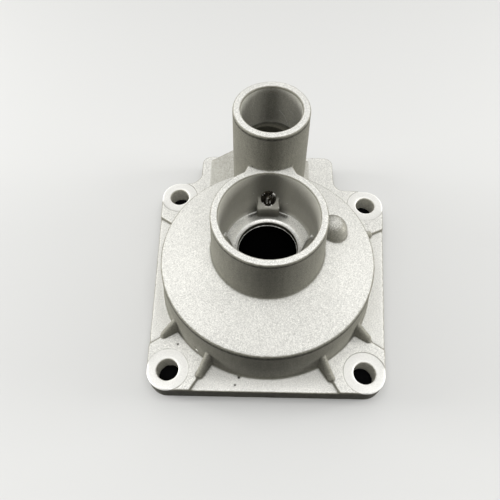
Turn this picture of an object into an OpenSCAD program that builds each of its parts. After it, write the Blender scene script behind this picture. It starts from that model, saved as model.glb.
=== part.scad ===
// Water pump housing: one die-cast piece of aluminium.
// A square flange with four bolt holes carries a low drum, the cover of the impeller chamber.
// The suction collar stands on the middle of the drum, the discharge pipe behind it.
// Frame: the origin is on the pump axis in the flange's mounting face, +Z runs out of the
// suction collar and +Y points from the collar to the discharge pipe. Lengths are in millimetres.

/* [Flange] */
// Thickness of the flange between its raised corners
flange_t = 6; // [4:0.1:9]
// How far the corner pads and the rear ear stand above the rest of the flange
pad_rise = 0.85; // [0.4:0.05:2]
// Spacing of the two front bolt holes
front_pitch = 60; // [56:0.5:70]
// Distance of the front bolt line from the pump axis
front_line = 32; // [31:0.1:38]
// Rear left bolt hole, distance to the left of the axis
rear_left_x = 32.1; // [30:0.1:36]
// Rear left bolt hole, distance behind the axis
rear_left_y = 33; // [30:0.1:36]
// Rear right bolt hole, distance to the right of the axis
rear_right_x = 35.9; // [30:0.1:38]
// Rear right bolt hole, distance behind the axis
rear_right_y = 30.3; // [28:0.1:34]
// Diameter of the bolt holes, clearance for M6
bolt_hole_d = 6.75; // [5.5:0.05:9]
// Metal round each bolt hole
bolt_land = 2.95; // [2:0.05:5]
// Diameter of the machined spot faces under the bolt heads
spot_d = 13; // [11:0.1:15]
// Depth of the spot faces
spot_depth = 0.15; // [0.05:0.05:0.4]

/* [Rear ear] */
// Left side of the ear, distance from the axis
ear_left = 24.6; // [22:0.1:27]
// Right side of the ear, distance from the axis
ear_right = 25; // [19:0.1:27]
// Rear edge of the ear, distance behind the axis
ear_rear = 52.4; // [50:0.1:60]
// Radius of the ear's outer corners
ear_corner_r = 3.2; // [1:0.1:6]
// Radius of the hollow between the ear's left side and the flange
ear_hollow_left_r = 5; // [2.5:0.1:6]
// Radius of the hollow between the ear's right side and the flange
ear_hollow_right_r = 4; // [2.5:0.1:4.6]

/* [Drum] */
// Outer radius of the drum at its top edge
drum_r = 33.05; // [30:0.05:36]
// Height of the drum's top edge above the mounting face
drum_edge_z = 22.15; // [16:0.05:30]
// Draft of the drum's wall, how much wider it is at the flange
drum_draft = 0.9; // [0.2:0.05:2]
// Radius of the hollow between the drum and the flange
drum_foot_r = 1; // [0.3:0.1:2]
// Rounding of the drum's top edge
drum_edge_r = 0.7; // [0.2:0.1:1.5]
// Rise of the conical top from the drum's edge to the collar
cone_rise = 4.8; // [1:0.1:8]
// Wall over the impeller chamber
cover_wall = 2.5; // [1.5:0.1:4]
// Radius of the impeller chamber
chamber_r = 30.4; // [27:0.1:32]
// Radius of the hollow between the chamber's wall and its ceiling
chamber_cove_r = 1.2; // [0.4:0.1:2]

/* [Suction collar] */
// Bore of the suction collar
collar_bore_d = 28.15; // [24:0.05:30]
// How far above the rear lug the straight part of that bore ends
bore_runout = 1.65; // [0.4:0.05:3]
// How much smaller the bore's radius is at the seat, below that straight part
bore_taper = 0.45; // [0.1:0.05:0.8]
// Wall of the collar at its rim
collar_wall = 2.25; // [1.5:0.05:4]
// Draft of the collar, how much wider it is at the drum
collar_draft = 0.65; // [0.1:0.05:1.5]
// Height of the collar's rim above the mounting face
collar_z = 44.3; // [38:0.1:52]
// Radius of the hollow between the collar and the drum
collar_foot_r = 0.9; // [0.2:0.1:2]
// Rounding of the rims of the collar and the pipe
rim_r = 0.4; // [0.1:0.05:0.8]
// Height of the seat above the drum's top at the collar's foot
seat_rise = 0.1; // [-1:0.05:2]
// Thickness of the seat at the bottom of the collar
seat_t = 2.4; // [1.6:0.1:4]
// Radius of the flat seat
seat_r = 12.7; // [11.5:0.1:13]
// Height of the step at the edge of the flat seat
seat_step = 0.25; // [0.1:0.05:0.5]
// Radius of the cove between the collar's bore and the seat
seat_cove_r = 1.1; // [0.5:0.1:2]
// Diameter of the inlet eye
eye_d = 18.1; // [14:0.1:20]
// Width of the bevel round the eye
eye_bevel = 1; // [0.4:0.1:1.5]
// Width and thickness of the flash left at the eye's lower edge
eye_flash = 0.2; // [0.1:0.05:0.4]

/* [Lugs in the collar] */
// Width of the rear lug
lug_w = 6.9; // [5.5:0.1:8]
// Distance of the rear lug's face from the axis
lug_face = 10.6; // [10:0.1:12]
// Height of the rear lug above the seat
lug_h = 4.5; // [3:0.1:6]
// Rounding of the rear lug's upright edges
lug_edge_r = 0.9; // [0.3:0.1:1.5]
// Hollows between the rear lug's sides and the collar's bore
lug_hollow_r = 0.7; // [0.3:0.1:1.2]
// Diameter of the slanting hole drilled into the rear lug
port_d = 4.5; // [3:0.1:5]
// Distance of that hole's mouth from the pump axis, on the lug's top
port_y = 14.6; // [13.5:0.1:14.8]
// Slant of that hole from the pump axis, in degrees
port_slant = 37; // [25:1:42]
// Depth of that hole below the lug's top
port_depth = 2.4; // [1:0.1:2.6]
// Angle of the drill's point at the bottom of that hole, in degrees
port_point = 118; // [90:1:140]
// Height of the two side ledges above the seat
ledge_h = 2.45; // [1:0.05:5]
// Distance of the side ledges' flat faces from the axis, on the seat
ledge_face = 9.55; // [9.4:0.05:11]
// Lean of the side ledges' flat faces away from the axis, in degrees
ledge_lean = 22; // [5:1:30]
// Angle of each side ledge from the front, in degrees
ledge_angle = 64; // [50:1:75]

/* [Discharge pipe] */
// Pipe axis, distance to the right of the pump axis
pipe_x = 0.25; // [-2:0.05:2]
// Pipe axis, distance behind the pump axis
pipe_y = 26.2; // [25.5:0.1:29]
// Bore of the pipe
pipe_bore_d = 17.35; // [14:0.05:18]
// Wall of the pipe at its rim
pipe_wall = 2.25; // [1.5:0.05:4]
// Draft of the pipe, how much wider it is at the drum
pipe_draft = 0.55; // [0.1:0.05:1.5]
// Height of the pipe's rim above the mounting face
pipe_z = 57.55; // [48:0.1:70]
// Depth of the pipe's bore down to its shoulder
pipe_bore_depth = 14.3; // [8:0.1:22]
// Diameter of the passage below the shoulder
passage_d = 14.8; // [11:0.1:16]
// Offset of that passage to the left of the pipe axis
passage_shift = 0.9; // [0:0.1:1.2]

/* [Web and boss] */
// Width of the web between collar and pipe, at the pipe
web_w = 12.2; // [8:0.1:16]
// How much wider the web is at the collar
web_flare = 3.6; // [0:0.1:6]
// Radius of the round boss beside the collar
boss_r = 4.7; // [3:0.1:6]
// Distance of the boss from the pump axis
boss_reach = 21.3; // [20:0.1:25]
// Angle of the boss from the right-hand side, in degrees
boss_angle = 20; // [-20:1:40]

/* [Discharge hump] */
// Left foot of the hump, distance from the axis
hump_left = 21.5; // [18:0.1:22]
// Right foot of the hump, distance from the axis
hump_right = 16.2; // [14:0.1:19]
// Distance of the hump's rear face behind the axis
hump_rear = 50.4; // [44:0.1:51]
// Slope of the hump's sides, in degrees
hump_slope = 36; // [28:1:55]
// Height of the hump above the flange's raised faces
hump_h = 9.5; // [5:0.1:11]
// Wall of the hump
hump_wall = 2.5; // [1.5:0.1:3.5]

/* [Ribs] */
// Rounding of the ribs' tops, half their thickness there
rib_top_r = 0.75; // [0.4:0.05:1.5]
// Draft of the ribs' sides, in degrees
rib_draft = 4; // [0:0.5:8]
// Radius of the hollow between the ribs and the flange
rib_foot_r = 1.2; // [0.4:0.1:2]
// Height of the ribs on the drum's wall, above the raised faces
rib_h = 6.6; // [3:0.1:12]
// Height of the ribs at their outer end, above the raised faces
rib_end_h = 1; // [0.4:0.1:2]
// Distance of the ribs' outer ends from the axis
rib_reach = 39.2; // [36:0.1:40]
// The same for the two front ribs
front_rib_reach = 39.9; // [36:0.1:40]
// The same for the rear right rib
rear_rib_reach = 40.8; // [36:0.1:42]

/* [Hidden] */
$fn = 96;

cast_metal = [0.84, 0.83, 0.8];
deep = 0.6;            // how far one body sinks into the next, so that they fuse
past = 1;              // how far a cut runs on beyond the face that it opens
kiss = 0.03;           // straight edges run this far inside the round lobes that they join
arc_steps = 8;         // facets of a quarter of a small rounding
rim_steps = 4;         // facets of the rounding of a rim
short = 2;             // a rounding ends this many degrees short of a drafted face

raised_z = flange_t + pad_rise;
lobe_r = bolt_hole_d / 2 + bolt_land;
front_left = [-front_pitch / 2, -front_line];
front_right = [front_pitch / 2, -front_line];
rear_left = [-rear_left_x, rear_left_y];
rear_right = [rear_right_x, rear_right_y];
bolts = [front_left, front_right, rear_right, rear_left];

// Steps of the flange run out from the axis, and a rib stands on each: its angle and its reach
ribs = [
    [26, rear_rib_reach],
    [148, rib_reach],
    [213.2, rib_reach],
    [239.1, front_rib_reach],
    [300.1, front_rib_reach],
    [326.4, rib_reach]
];
recesses = [[148, 213.2], [239.1, 300.1], [326.4, 386]];

drum_foot = drum_r + drum_draft;
collar_bore_r = collar_bore_d / 2;
collar_rim_r = collar_bore_r + collar_wall;
collar_foot = collar_rim_r + collar_draft;
cone_slope = cone_rise / (drum_r - collar_foot);
seat_z = drum_edge_z + cone_rise + seat_rise;
seat_under = seat_z - seat_t;
cove_z = seat_z + seat_step + seat_cove_r;
straight_z = seat_z + lug_h + bore_runout;
bore_slope = bore_taper / (straight_z - cove_z);
ceiling_z = drum_edge_z + (drum_r - chamber_r) * cone_slope - cover_wall / cos(atan(cone_slope));
pipe_at = [pipe_x, pipe_y];
pipe_rim_r = pipe_bore_d / 2 + pipe_wall;
pipe_foot = pipe_rim_r + pipe_draft;
hump_z = raised_z + hump_h;
hump_foot_run = pad_rise / tan(hump_slope);

function unit(a) = [cos(a), sin(a)];
// Points along an arc round c, from angle a to angle b
function arc(c, r, a, b, n = arc_steps) = [for (i = [0 : n]) c + r * unit(a + (b - a) * i / n)];
// The same half outline on the other side of the axis, read backwards
function other_half(side) = let (last = len(side) - 1)
    [for (i = [0 : last]) [-side[last - i][0], side[last - i][1]]];
// Height of the drum's conical top at a distance from the axis
function cone_z(r) = drum_edge_z + (drum_r - r) * cone_slope;
// Direction square to the left of the way from p to q
function left_of(p, q) = let (d = (q - p) / norm(q - p)) [-d[1], d[0]];

// Outline of the flange: straight sides between four round lobes
module flange_plan() {
    outline = [for (i = [0 : 3]) let (
        p = bolts[i],
        q = bolts[(i + 1) % 4],
        out = -left_of(p, q) * (lobe_r - kiss)
    ) each [p + out, q + out]];
    polygon(outline);
    for (p = bolts) translate(p) circle(lobe_r);
}

// Outline of the rear ear, with its two rounded corners
module ear_plan() {
    c = ear_corner_r;
    inside_y = rear_right_y - lobe_r / 2;
    polygon(concat(
        [[-ear_left, inside_y], [ear_right, inside_y]],
        arc([ear_right - c, ear_rear - c], c, 0, 90),
        arc([c - ear_left, ear_rear - c], c, 90, 180)
    ));
}

// Metal in the corner between the ear's side at x and the flange's rear edge, side is -1 or 1
module ear_hollow(x, r, side) {
    edge = (rear_left - rear_right) / norm(rear_left - rear_right);
    start = rear_right - left_of(rear_right, rear_left) * (lobe_r - kiss);
    c_x = x + side * r;
    c = [c_x, start[1] + (c_x - start[0]) * edge[1] / edge[0] - r / edge[0]];
    difference() {
        polygon([[x - side * deep, c[1]], [x - side * deep, c[1] - r - deep], [c_x, c[1] - r - deep], c]);
        translate(c) circle(r + kiss);
    }
}

module flange_outline() {
    flange_plan();
    ear_plan();
    ear_hollow(-ear_left, ear_hollow_left_r, -1);
    ear_hollow(ear_right, ear_hollow_right_r, 1);
}

// Shallow step between two of the rib lines, outside the drum
module recess(from, to) {
    far = 2 * ear_rear;
    difference() {
        translate([0, 0, flange_t]) linear_extrude(pad_rise + past)
            polygon([[0, 0], far * unit(from), far * unit((from + to) / 2), far * unit(to)]);
        cylinder(r = drum_r - deep, h = raised_z + 2 * past);
    }
}

module flange() {
    difference() {
        linear_extrude(raised_z) flange_outline();
        for (r = recesses) recess(r[0], r[1]);
        for (p = bolts) translate([p[0], p[1], raised_z - spot_depth]) cylinder(d = spot_d, h = past);
    }
}

// Section of a rib, seen along its sloping top: a full round over two drafted sides
module rib_section(depth) {
    foot = rib_top_r / cos(rib_draft) + depth * tan(rib_draft);
    inside = rib_top_r - kiss;
    circle(rib_top_r);
    polygon([
        [-inside * cos(rib_draft), inside * sin(rib_draft)],
        [-foot, -depth],
        [foot, -depth],
        [inside * cos(rib_draft), inside * sin(rib_draft)]
    ]);
}

// Half section of a rib's foot, with the hollow against the flange
function rib_foot_side() = let (edge = rib_top_r + rib_foot_r) concat(
    [[edge, flange_t - deep]],
    arc([edge, flange_t + rib_foot_r], rib_foot_r, 270, 180 + short, rim_steps)
);

// Upright rib on the drum's wall, its top slopes down to a round outer end
module rib(angle, reach) {
    root = drum_r - 2 * deep;
    end_r = rib_top_r / cos(rib_draft) + (pad_rise + rib_end_h) * tan(rib_draft);
    end = reach - end_r;
    top_z = raised_z + rib_h;
    slope = atan((rib_h - rib_end_h) / (reach - drum_r));
    length = (reach - root) / cos(slope) + rib_h;
    side = rib_foot_side();
    rotate(angle) {
        intersection() {
            translate([root, 0, top_z + (drum_r - root) * tan(slope)]) rotate([0, slope, 0])
                rotate([90, 0, 90]) translate([0, -rib_top_r]) linear_extrude(length) rib_section(top_z);
            translate([0, 0, flange_t - deep]) linear_extrude(rib_h + past) {
                translate([end, 0]) circle(end_r);
                translate([root, -drum_foot / 2]) square([end - root, drum_foot]);
            }
        }
        translate([end, 0, 0]) rotate_extrude()
            polygon(concat([[0, flange_t - deep]], side, [[0, side[len(side) - 1][1]]]));
        translate([root, 0, 0]) rotate([90, 0, 90]) linear_extrude(end - root)
            polygon(concat(side, other_half(side)));
    }
}

// Half section of the drum and its collar, solid inside
module drum_section() {
    tilt = atan(cone_slope);
    polygon(concat(
        [[0, flange_t - deep], [drum_foot + drum_foot_r, flange_t - deep]],
        arc([drum_foot + drum_foot_r, flange_t + drum_foot_r], drum_foot_r, 270, 180 + short),
        arc([drum_r - drum_edge_r, drum_edge_z - drum_edge_r], drum_edge_r, short, 90 - tilt),
        arc([collar_foot + collar_foot_r, cone_z(collar_foot + collar_foot_r) + collar_foot_r],
            collar_foot_r, 270 - tilt, 180 + short),
        arc([collar_rim_r - rim_r, collar_z - rim_r], rim_r, short, 90, rim_steps),
        [[0, collar_z]]
    ));
}

module drum() rotate_extrude() drum_section();

// Half section of all that is cut out along the pump axis
module axis_cut_section() {
    mouth_r = collar_bore_r + rim_r;
    eye_r = eye_d / 2;
    cove = [collar_bore_r - bore_taper - seat_cove_r, cove_z];
    polygon(concat(
        [[0, collar_z + past], [mouth_r, collar_z + past]],
        arc([mouth_r, collar_z - rim_r], rim_r, 90, 180, rim_steps),
        [[collar_bore_r, straight_z]],
        arc(cove, seat_cove_r, -atan(bore_slope), short - 90),
        [
            [seat_r, seat_z + seat_step],
            [seat_r, seat_z],
            [eye_r + eye_bevel, seat_z],
            [eye_r, seat_z - eye_bevel / 2],
            [eye_r, seat_under + eye_flash],
            [eye_r - eye_flash, seat_under + eye_flash],
            [eye_r - eye_flash, seat_under - past],
            [0, seat_under - past]
        ]
    ));
}

// Half section of the impeller chamber under the drum
module chamber_section() {
    cove = [chamber_r - chamber_cove_r, ceiling_z - chamber_cove_r];
    flat_r = chamber_r - (seat_under - ceiling_z) / cone_slope;
    polygon(concat(
        [[0, -past], [chamber_r, -past]],
        arc(cove, chamber_cove_r, 0, 90 - short - atan(cone_slope)),
        [[flat_r, seat_under], [0, seat_under]]
    ));
}

// Half outline of the rear lug: a rounded front edge, and a hollow against the collar's bore
function lug_side() = let (
    half = lug_w / 2,
    wall_r = collar_bore_r - bore_runout * bore_slope,
    c_x = half + lug_hollow_r,
    c_y = sqrt(pow(wall_r - lug_hollow_r, 2) - c_x * c_x),
    touch = atan2(c_y, c_x)
) concat(
    arc([half - lug_edge_r, lug_face + lug_edge_r], lug_edge_r, 270, 360),
    arc([c_x, c_y], lug_hollow_r + kiss, 180, touch),
    [[half, collar_bore_r + deep]]
);

// Rear lug, a block that runs into the collar's wall
module lug() {
    side = lug_side();
    translate([0, 0, seat_z - deep]) linear_extrude(lug_h + deep) polygon(concat(side, other_half(side)));
}

// Side ledge, the part of the collar's bore behind a flat face that leans outwards
module ledge(side) {
    wide = collar_bore_d;
    intersection() {
        translate([0, 0, seat_z - deep]) cylinder(r = collar_bore_r + deep, h = ledge_h + deep);
        rotate(-90 + side * ledge_angle) translate([ledge_face, 0, seat_z]) rotate([0, ledge_lean, 0])
            translate([0, -wide / 2, -wide / 2]) cube(wide);
    }
}

// Slanting blind hole drilled through the collar's mouth into the rear lug
module port() {
    point_h = port_d / 2 / tan(port_point / 2);
    clear_h = port_d / tan(port_slant);
    translate([0, port_y, seat_z + lug_h]) rotate([port_slant, 0, 0])
        translate([0, 0, -port_depth]) rotate_extrude() polygon([
            [0, -point_h],
            [port_d / 2, 0],
            [port_d / 2, port_depth + clear_h],
            [0, port_depth + clear_h]
        ]);
}

// Outside of the discharge pipe, from inside the drum to its rim
module pipe() {
    translate(pipe_at) rotate_extrude() polygon(concat(
        [[0, flange_t - deep], [pipe_foot, flange_t - deep], [pipe_foot, drum_edge_z]],
        arc([pipe_rim_r - rim_r, pipe_z - rim_r], rim_r, short, 90, rim_steps),
        [[0, pipe_z]]
    ));
}

// Bore of the pipe, its shoulder and the narrower passage below it
module pipe_cut() {
    bore_r = pipe_bore_d / 2;
    shoulder_z = pipe_z - pipe_bore_depth;
    translate(pipe_at) rotate_extrude() polygon(concat(
        [[0, pipe_z + past], [bore_r + rim_r, pipe_z + past]],
        arc([bore_r + rim_r, pipe_z - rim_r], rim_r, 90, 180, rim_steps),
        [[bore_r, shoulder_z], [0, shoulder_z]]
    ));
    translate([pipe_x - passage_shift, pipe_y, raised_z])
        cylinder(d = passage_d, h = shoulder_z - raised_z + past);
}

// Web that fills the gap between collar and pipe, flush with the collar's rim
module web() {
    half = web_w / 2;
    near = half + web_flare / 2;
    near_y = collar_bore_r - deep;
    far_y = pipe_y - sqrt(pow(pipe_rim_r, 2) - half * half) + deep;
    translate([pipe_x, 0, drum_edge_z]) linear_extrude(collar_z - drum_edge_z)
        polygon([[-near, near_y], [near, near_y], [half, far_y], [-half, far_y]]);
}

module boss() {
    at = boss_reach * unit(boss_angle);
    translate([at[0], at[1], cone_z(boss_reach)]) sphere(boss_r);
}

// Where a hump's section reaching out to x, left or right, starts inside a round body of radius r
function start_y(r, x) = sqrt(r * r - x * x) - deep;

// Hump between the pipe and the ear, its two sides slope up to a flat ridge
module hump() {
    run = (hump_z - flange_t) / tan(hump_slope);
    left = -hump_left - hump_foot_run;
    right = hump_right + hump_foot_run;
    start = start_y(drum_r, left);
    translate([0, hump_rear, 0]) rotate([90, 0, 0]) linear_extrude(hump_rear - start)
        polygon([[left, flange_t], [right, flange_t], [right - run, hump_z], [left + run, hump_z]]);
}

// Space under the hump, open to the chamber and to the mounting face
module hump_cut() {
    left = hump_wall - hump_left;
    right = hump_right - hump_wall;
    rear = hump_rear - hump_wall;
    drop = hump_wall / cos(hump_slope);
    kink_z = raised_z + hump_wall * tan(hump_slope) - drop;
    top_z = hump_z - hump_wall;
    run = (top_z - kink_z) / tan(hump_slope);
    translate([0, rear, 0]) rotate([90, 0, 0]) linear_extrude(rear - start_y(chamber_r, left)) polygon([
        [left, -past],
        [right, -past],
        [right, kink_z],
        [right - run, top_z],
        [left + run, top_z],
        [left, kink_z]
    ]);
}

module housing() {
    color(cast_metal) difference() {
        union() {
            difference() {
                union() {
                    flange();
                    drum();
                    pipe();
                    web();
                    boss();
                    hump();
                    for (r = ribs) rib(r[0], r[1]);
                }
                rotate_extrude() axis_cut_section();
            }
            lug();
            ledge(-1);
            ledge(1);
        }
        rotate_extrude() chamber_section();
        pipe_cut();
        hump_cut();
        port();
        for (p = bolts) translate([p[0], p[1], -past]) cylinder(d = bolt_hole_d, h = raised_z + 2 * past);
    }
}

housing();
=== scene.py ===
"""Water pump housing: one die casting of aluminium, dressed and lit for a studio view.

The solid of the housing comes from the frame. This script gives it the skin of the real casting:
edges rounded as the mould leaves them, rough rims, pits, burrs and flash, and a shot-blasted
finish with machined spot faces, bores and seat, with light and shade painted into its colours.
Sizes are in millimetres in the dataclasses and become metres where a mesh, a light or a node takes them.
"""

import logging
import math
from dataclasses import dataclass, field
from enum import Enum
from typing import NamedTuple

import bpy
import numpy as np
from mathutils import Matrix, Vector

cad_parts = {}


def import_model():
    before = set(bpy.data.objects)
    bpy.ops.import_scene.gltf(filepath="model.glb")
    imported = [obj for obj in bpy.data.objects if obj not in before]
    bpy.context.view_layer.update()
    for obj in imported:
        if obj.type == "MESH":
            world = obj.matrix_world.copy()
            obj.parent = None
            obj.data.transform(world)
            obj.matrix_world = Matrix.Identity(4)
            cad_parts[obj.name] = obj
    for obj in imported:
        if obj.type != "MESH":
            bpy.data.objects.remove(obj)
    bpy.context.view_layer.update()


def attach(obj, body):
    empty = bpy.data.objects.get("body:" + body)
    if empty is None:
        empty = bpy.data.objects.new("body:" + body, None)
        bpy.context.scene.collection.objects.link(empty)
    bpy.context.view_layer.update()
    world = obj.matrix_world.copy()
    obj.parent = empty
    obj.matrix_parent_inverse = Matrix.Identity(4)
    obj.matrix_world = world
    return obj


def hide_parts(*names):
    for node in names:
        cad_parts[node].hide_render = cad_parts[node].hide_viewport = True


LOG = logging.getLogger("housing")
MM = 0.001
FAR = 99.0  # Millimetres, past every point of the housing
Place = tuple[float, float, float]
Stroke = tuple[Place, Place, float]
Socket = bpy.types.NodeSocket


class Zone(Enum):
    """Areas of the casting that were made in different ways, and areas of painted light and shade."""

    SPOT_FACE = "spot faces under the bolt heads"
    SPOT_RING = "fine line round each spot face"
    BOLT_HOLE = "drilled bolt holes"
    PORT = "slanting hole drilled into the rear lug"
    BORE = "cored bore of the collar"
    PIPE_BORE = "cored bore, shoulder and passage of the pipe"
    SEAT = "turned seat in the collar"
    EYE_EDGE = "turned bevel round the inlet eye"
    # The ledges' leaning faces are painted dark: painted shade
    LEDGE_SHADE = "leaning faces of the side ledges"
    BOSS = "round boss beside the collar"
    FACE = "milled mounting face"
    # The dark band just below the rims is painted shade
    RIM_SHADE = "torn skin just below the edges of drum, collar and pipe"
    # The eye's wall is painted dark: painted shade
    EYE_WALL_SHADE = "wall of the inlet eye below its bevel"
    # The flange's outer edge is painted dark: painted shade
    EDGE = "outer edge of the flange"
    # The dark corners between lug and seat are painted shade
    CORNER_SHADE = "oxide in the corners between lug and seat"
    # The bores' rear walls are painted darker: painted shade
    REAR_WALL_SHADE = "dull skin of the bores' rear walls, out of the shot's reach"
    # The seat's rear and the rear lug's front are painted darker: painted shadow
    LUG_SHADOW = "dull rear of the seat and front of the rear lug"
    # The shoulder and passage deep in the pipe are painted dark: painted shade
    DEEP_PIPE_SHADE = "shoulder and passage deep in the pipe"
    # A bright line is painted round the seat's step: a painted highlight
    STEP = "sharp step round the seat"
    # The ribs' sloping tops are painted grey: painted shade
    RIB = "sloping ribs against the drum"
    # Inside the pits the dark coat is painted shade
    PIT = "gas pits"
    # Bright streaks are painted in the bores; in the slanting hole they are painted reflections
    MARK = "bright scratches in the pipe's bore and in the slanting hole"


class Measure(Enum):
    """Distances that say where a point of the housing lies."""

    RADIUS = "away from the pump axis"
    HEIGHT = "above the mounting face"
    BEHIND = "behind the pump axis"
    PIPE = "away from the pipe's axis"
    BOSS = "away from the boss's middle"
    BOLT = "away from the nearest bolt's axis"
    PORT_RADIUS = "away from the slanting hole's axis"
    PORT_HEIGHT = "up the slanting hole from its bottom"
    LEDGE_ALONG = "along the leaning face of a side ledge"
    LEDGE_DEPTH = "square to the leaning face of a side ledge"


class Pattern(Enum):
    """Patterns of the skin: size in millimetres, detail and roughness."""

    GRAIN = (0.25, 1.0, 0.5)  # Dents of 0.1 mm from the shot, drawn coarser, or they would vanish
    PEBBLE = (0.7, 2.0, 0.6)  # Clusters of dents
    MOTTLE = (2.4, 4.0, 0.6)  # Patches that were struck more or less often
    CLOUD = (13.0, 2.0, 0.5)  # Slow changes of tone, as the metal chilled against the mould
    DRAG = (1.6, 3.0, 0.6)  # Streaks of the walls, pulled along as the casting left the mould


def linear(colour: str) -> tuple[float, float, float, float]:
    """Turns an sRGB hex colour into the linear colour that a socket takes.

    Args:
        colour: Six hex digits.

    Returns:
        Linear red, green, blue and an alpha of 1.
    """
    parts = [int(colour[i : i + 2], 16) / 255 for i in (0, 2, 4)]
    red, green, blue = [c / 12.92 if c <= 0.04045 else ((c + 0.055) / 1.055) ** 2.4 for c in parts]
    return red, green, blue, 1.0


def add_node(
    tree: bpy.types.NodeTree, kind: str, inputs: dict | None = None, **settings: object
) -> bpy.types.Node:
    """Adds one node to a tree, with its settings, values and links.

    Args:
        tree: The node tree.
        kind: The node's type name.
        inputs: Socket names or numbers, each with a value or with the socket that feeds it.
        **settings: Property names and their values.

    Returns:
        The new node.
    """
    node = tree.nodes.new(kind)
    for name, value in settings.items():
        setattr(node, name, value)
    for name, value in (inputs or {}).items():
        if isinstance(value, bpy.types.NodeSocket):
            tree.links.new(value, node.inputs[name])
        else:
            node.inputs[name].default_value = value
    return node


def fold(tree: bpy.types.NodeTree, operation: str, *values: Socket) -> Socket:
    """Joins any number of values into one, two by two.

    Args:
        tree: The node tree.
        operation: MULTIPLY for a mask of what all masks share, MAXIMUM for what any has, or MINIMUM.
        *values: The values.

    Returns:
        The joined value.
    """
    joined = values[0]
    for value in values[1:]:
        joined = add_node(tree, "ShaderNodeMath", {0: joined, 1: value}, operation=operation).outputs[0]
    return joined


def seen(tree: bpy.types.NodeTree) -> Socket:
    """Makes a mask that is 1 for what the camera sees, straight, reflected or through glass.

    Args:
        tree: The node tree.

    Returns:
        The mask.
    """
    rays = add_node(tree, "ShaderNodeLightPath").outputs
    return fold(tree, "MAXIMUM", *(rays[f"Is {kind} Ray"] for kind in ("Camera", "Glossy", "Transmission")))


def blank_material(name: str) -> bpy.types.Material:
    """Makes a material with an empty node tree.

    Args:
        name: Name of the real finish.

    Returns:
        The material.
    """
    material = bpy.data.materials.new(name)
    material.use_nodes = True
    material.node_tree.nodes.clear()
    return material


def deselect() -> None:
    """Deselects every object."""
    bpy.ops.object.select_all(action="DESELECT")


def just_added() -> bpy.types.Object:
    """Gives the object that the last operator added."""
    return bpy.context.view_layer.objects.active


def activate(piece: bpy.types.Object) -> None:
    """Selects one object alone and makes it the active one.

    Args:
        piece: The object.
    """
    deselect()
    piece.select_set(True)
    bpy.context.view_layer.objects.active = piece


def finish_modifier(piece: bpy.types.Object, kind: str, **settings: object) -> None:
    """Adds a modifier to an object and applies it.

    Args:
        piece: The object.
        kind: The modifier's type.
        **settings: Property names and their values.
    """
    activate(piece)
    modifier = piece.modifiers.new(kind.lower(), kind)
    for name, value in settings.items():
        setattr(modifier, name, value)
    bpy.ops.object.modifier_apply(modifier=modifier.name)


def displace(
    piece: bpy.types.Object, name: str, size: float, depth: int, strength: float, **settings: object
) -> None:
    """Makes a skin uneven by a cloud texture.

    Args:
        piece: The object.
        name: The texture's name.
        size: Size of the unevenness in millimetres.
        depth: Steps of finer unevenness.
        strength: Height of the unevenness in millimetres.
        **settings: More settings of the modifier.
    """
    texture = bpy.data.textures.new(name, "CLOUDS")
    texture.noise_scale = size * MM
    texture.noise_depth = depth
    finish_modifier(
        piece, "DISPLACE", texture=texture, texture_coords="LOCAL", direction="NORMAL",
        mid_level=0.5, strength=strength * MM, **settings)
    bpy.data.textures.remove(texture)


def join(pieces: list[bpy.types.Object], name: str) -> bpy.types.Object:
    """Joins objects into the first of them.

    Args:
        pieces: The objects, all of them meshes.
        name: Name of the joined object.

    Returns:
        The joined object.
    """
    deselect()
    for piece in pieces:
        piece.select_set(True)
    bpy.context.view_layer.objects.active = pieces[0]
    bpy.ops.object.join()
    pieces[0].name = name
    return pieces[0]


def read_vectors(mesh: bpy.types.Mesh, kind: str) -> np.ndarray:
    """Reads a vector of each vertex.

    Args:
        mesh: The mesh.
        kind: Either co or normal.

    Returns:
        An array of three columns.
    """
    values = np.empty(len(mesh.vertices) * 3)
    mesh.vertices.foreach_get(kind, values)
    return values.reshape(-1, 3)


def write_group(piece: bpy.types.Object, name: str, weights: np.ndarray) -> None:
    """Writes vertex weights in steps of a tenth.

    Args:
        piece: The object.
        name: Name of the vertex group.
        weights: One weight for each vertex.
    """
    group = piece.vertex_groups.new(name=name)
    steps = np.round(weights * 10).astype(int)
    for step in range(1, 11):
        chosen = np.nonzero(steps == step)[0]
        if len(chosen):
            group.add(chosen.tolist(), step / 10, "REPLACE")


@dataclass(frozen=True)
class Sizes:
    """Sizes of the housing that the skin and the finish have to meet, in millimetres."""

    bolts: tuple[tuple[float, float], ...] = ((-30, -32), (30, -32), (35.9, 30.3), (-32.1, 33))
    bolt_hole_r: float = 3.375
    spot_r: float = 6.5
    spot_z: float = 6.7
    flange_z: float = 6.0
    raised_z: float = 6.85
    drum_r: float = 33.05
    drum_edge_z: float = 22.15
    chamber_r: float = 30.4
    collar_bore_r: float = 14.075
    collar_rim_r: float = 16.325
    collar_z: float = 44.3
    seat_z: float = 27.05
    seat_under: float = 24.65
    seat_r: float = 12.7
    eye_r: float = 9.05
    eye_bevel: float = 1.0
    # The right ledge's leaning face: its direction, its distance from the origin and its half length
    ledge_plane: Place = (0.8988, -0.4384, -0.4040)
    ledge_at: float = -1.379
    ledge_end: float = 7.2
    ledge_z: float = 29.5
    pipe: tuple[float, float] = (0.25, 26.2)
    pipe_bore_r: float = 8.675
    pipe_rim_r: float = 10.925
    pipe_z: float = 57.55
    shoulder_z: float = 43.25
    boss_at: Place = (20.02, 7.28, 25.66)
    boss_r: float = 4.7
    # The slanting hole: a point on its axis, the way out along it, and how far below it starts
    port_at: Place = (0, 14.6, 31.55)
    port_axis: Place = (0, -0.6018, 0.7986)
    port_start: float = 2.6
    port_r: float = 2.25
    rib_angles: tuple[float, ...] = (26, 148, 213.2, 239.1, 300.1, 326.4)
    rib_top: float = 2.0
    rib_end_y: float = 21.5


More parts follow.
